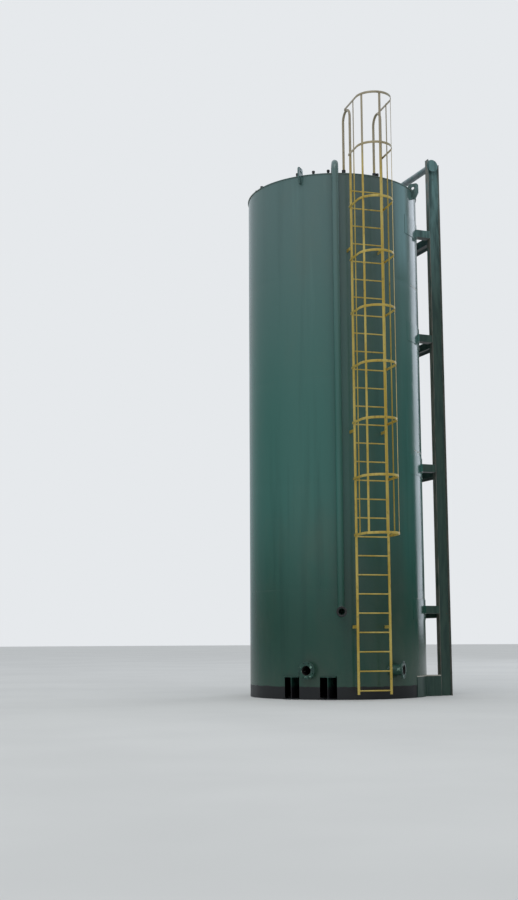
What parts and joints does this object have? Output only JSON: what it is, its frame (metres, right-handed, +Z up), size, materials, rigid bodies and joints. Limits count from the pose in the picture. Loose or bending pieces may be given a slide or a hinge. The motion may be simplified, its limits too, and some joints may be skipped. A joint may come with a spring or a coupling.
{
  "type": "vertical storage tank",
  "caption": "Upright cylindrical steel storage tank with flat roof, caged ladder, fill pipe, flanged nozzles, lifting lugs and a side transport skid with roll pipe.",
  "frame": {"origin": "on the tank's axis at ground level", "axes": "+Z up; -Y to the front, where the base beam ends and the drain nozzle are; +X to the right of the front, as seen facing it"},
  "size_m": [3.4865, 3.7664, 9.894],
  "materials": {
    "tank_green": "glossy dark teal green enamel, sun-dulled, with a black band round the foot",
    "skid_green": "worn dark green paint, rubbed to rusty primer on the outer faces",
    "ladder_yellow": "semi-gloss safety yellow paint, slightly chalked"
  },
  "bodies": {
    "root": {"shell_course_1": "tank_green", "shell_course_2": "tank_green", "shell_course_3": "tank_green", "shell_course_4": "tank_green", "shell_course_5": "tank_green", "floor_plate": "tank_green", "roof_plate": "tank_green", "roof_hatch": "tank_green", "base_beam_left": "tank_green", "base_beam_right": "tank_green", "base_tie": "tank_green", "lifting_lug_front": "tank_green", "lifting_lug_right": "tank_green", "lifting_lug_back": "tank_green", "lifting_lug_left": "tank_green", "fill_pipe": "tank_green", "fill_inlet": "tank_green", "nozzle_front": "tank_green", "nozzle_side": "tank_green", "skid_post_front": "skid_green", "skid_post_rear": "skid_green", "roll_pipe": "skid_green", "base_strut_front": "skid_green", "base_strut_rear": "skid_green", "cross_member_base": "skid_green", "cross_member_1": "skid_green", "cross_member_2": "skid_green", "cross_member_3": "skid_green", "cross_member_4": "skid_green", "strut_front_1": "skid_green", "strut_front_2": "skid_green", "strut_front_3": "skid_green", "strut_front_4": "skid_green", "strut_rear_1": "skid_green", "strut_rear_2": "skid_green", "strut_rear_3": "skid_green", "strut_rear_4": "skid_green", "ladder": "ladder_yellow", "gooseneck_left": "ladder_yellow", "gooseneck_right": "ladder_yellow", "cage_lower": "ladder_yellow", "cage_middle": "ladder_yellow", "cage_upper": "ladder_yellow", "ladder_bracket_left_1": "ladder_yellow", "ladder_bracket_left_2": "ladder_yellow", "ladder_bracket_left_3": "ladder_yellow", "ladder_bracket_right_1": "ladder_yellow", "ladder_bracket_right_2": "ladder_yellow", "ladder_bracket_right_3": "ladder_yellow"}
  },
  "joints": []
}
